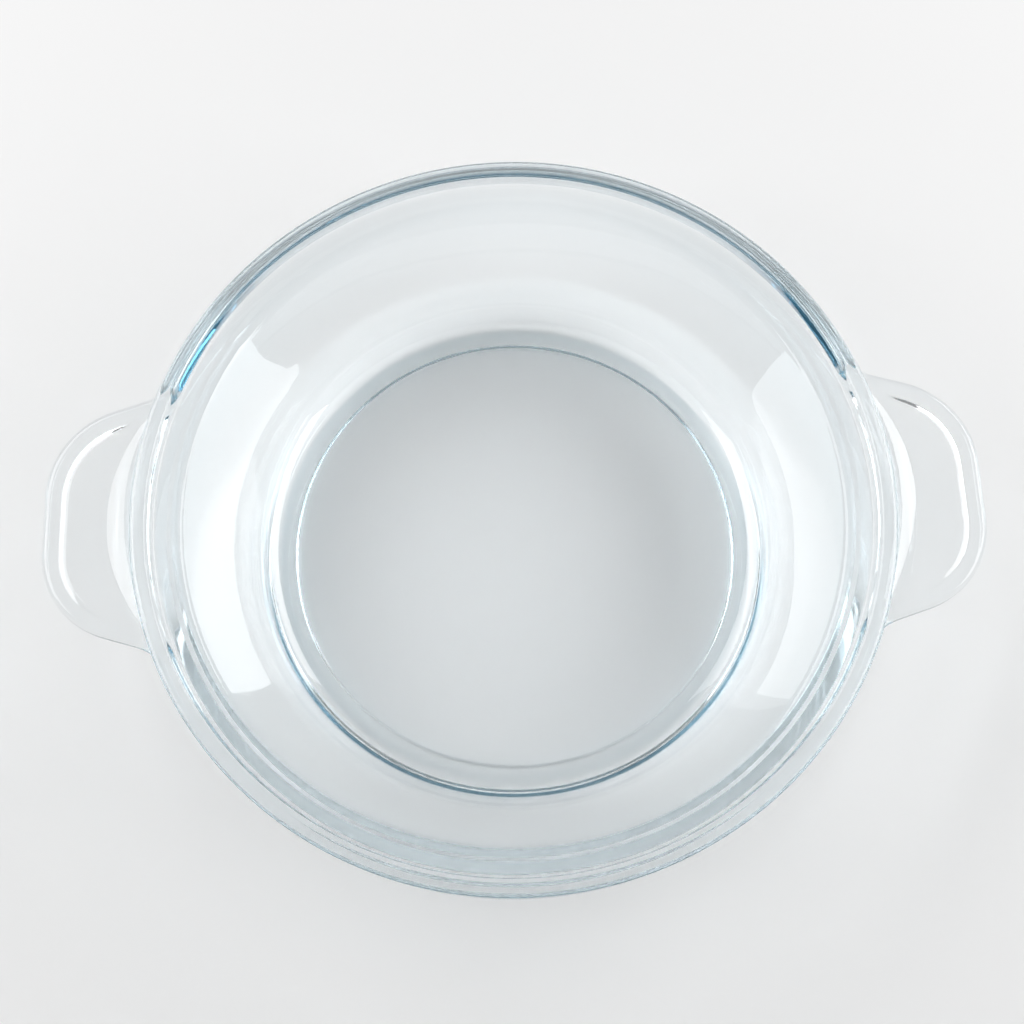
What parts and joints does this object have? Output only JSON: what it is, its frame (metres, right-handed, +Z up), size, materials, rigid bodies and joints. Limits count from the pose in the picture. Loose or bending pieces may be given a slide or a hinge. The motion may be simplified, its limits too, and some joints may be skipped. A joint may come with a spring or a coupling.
{
  "type": "glass casserole dish",
  "caption": "Round shallow clear glass oven dish with a flaring wall, a stepped rim that seats a lid, a low foot ring and a flat grip handle on each side.",
  "frame": {"origin": "centre of the dish on the plane of the foot ring's underside", "axes": "+Z up out of the open mouth, X through both handles, Y across"},
  "size_m": [0.273, 0.22, 0.053],
  "materials": {
    "clear_glass": "clear, fire-polished, faint blue-green in thick sections"
  },
  "bodies": {
    "root": {"base_panel": "clear_glass", "foot_ring": "clear_glass", "heel_ring": "clear_glass", "side_wall": "clear_glass", "lid_seat": "clear_glass", "rim_collar": "clear_glass", "right_handle": "clear_glass", "left_handle": "clear_glass"}
  },
  "joints": []
}
